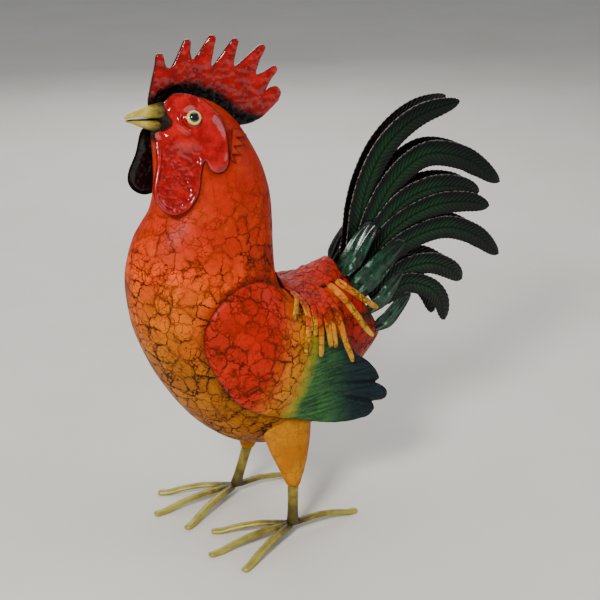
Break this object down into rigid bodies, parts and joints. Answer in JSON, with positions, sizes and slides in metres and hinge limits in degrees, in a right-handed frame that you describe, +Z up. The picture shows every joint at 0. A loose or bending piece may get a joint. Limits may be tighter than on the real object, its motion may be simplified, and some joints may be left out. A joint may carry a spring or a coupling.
{
  "type": "scrap metal rooster sculpture",
  "caption": "Standing painted sheet-metal rooster with comb, wattles, domed wings, fringed saddle, arched sickle-feather tail and bar feet.",
  "frame": {"origin": "on the ground, under the middle of the bird's bounding box", "axes": "+Z up, the beak points to -X and the tail to +X, the bird's left side to -Y"},
  "size_m": [0.5792, 0.2618, 0.7025],
  "materials": {
    "neck": "satin orange-red paint turning amber below, crackled to dark brown",
    "enamel": "gloss crimson enamel",
    "horn": "satin olive gold paint",
    "cream": "gloss cream enamel",
    "black": "gloss black enamel",
    "wing": "satin crackled red paint turning yellow, green and navy",
    "cape": "rough red paint turning ochre at the strip ends",
    "feather": "satin green paint turning black at the edges",
    "covert": "gloss dark green enamel",
    "thigh": "satin amber paint with small cracks",
    "leg": "satin olive green paint"
  },
  "bodies": {
    "root": {"body": "neck", "comb": "enamel", "face_left": "enamel", "eye_ring_left": "cream", "pupil_left": "black", "face_right": "enamel", "eye_ring_right": "cream", "pupil_right": "black", "beak_upper": "horn", "beak_lower": "horn", "nape_tabs_left": "neck", "wing_left": "wing", "nape_tabs_right": "neck", "wing_right": "wing", "saddle_cape": "cape", "tail_feather_1_left": "feather", "tail_feather_1_right": "feather", "tail_feather_2_left": "feather", "tail_feather_2_right": "feather", "tail_feather_3_left": "feather", "tail_feather_3_right": "feather", "tail_feather_4_left": "feather", "tail_feather_4_right": "feather", "tail_feather_5_left": "feather", "tail_feather_5_right": "feather", "tail_feather_6_left": "feather", "tail_feather_6_right": "feather", "tail_feather_7_left": "feather", "tail_feather_7_right": "feather", "tail_covert_1_left": "covert", "tail_covert_1_right": "covert", "tail_covert_2_left": "covert", "tail_covert_2_right": "covert", "tail_covert_3_left": "covert", "tail_covert_3_right": "covert", "tail_covert_4_left": "covert", "tail_covert_4_right": "covert", "thigh_left": "thigh", "shank_left": "leg", "long_toe_left": "leg", "inner_toe_left": "leg", "outer_toe_left": "leg", "thigh_right": "thigh", "shank_right": "leg", "long_toe_right": "leg", "inner_toe_right": "leg", "outer_toe_right": "leg"}
  },
  "joints": []
}
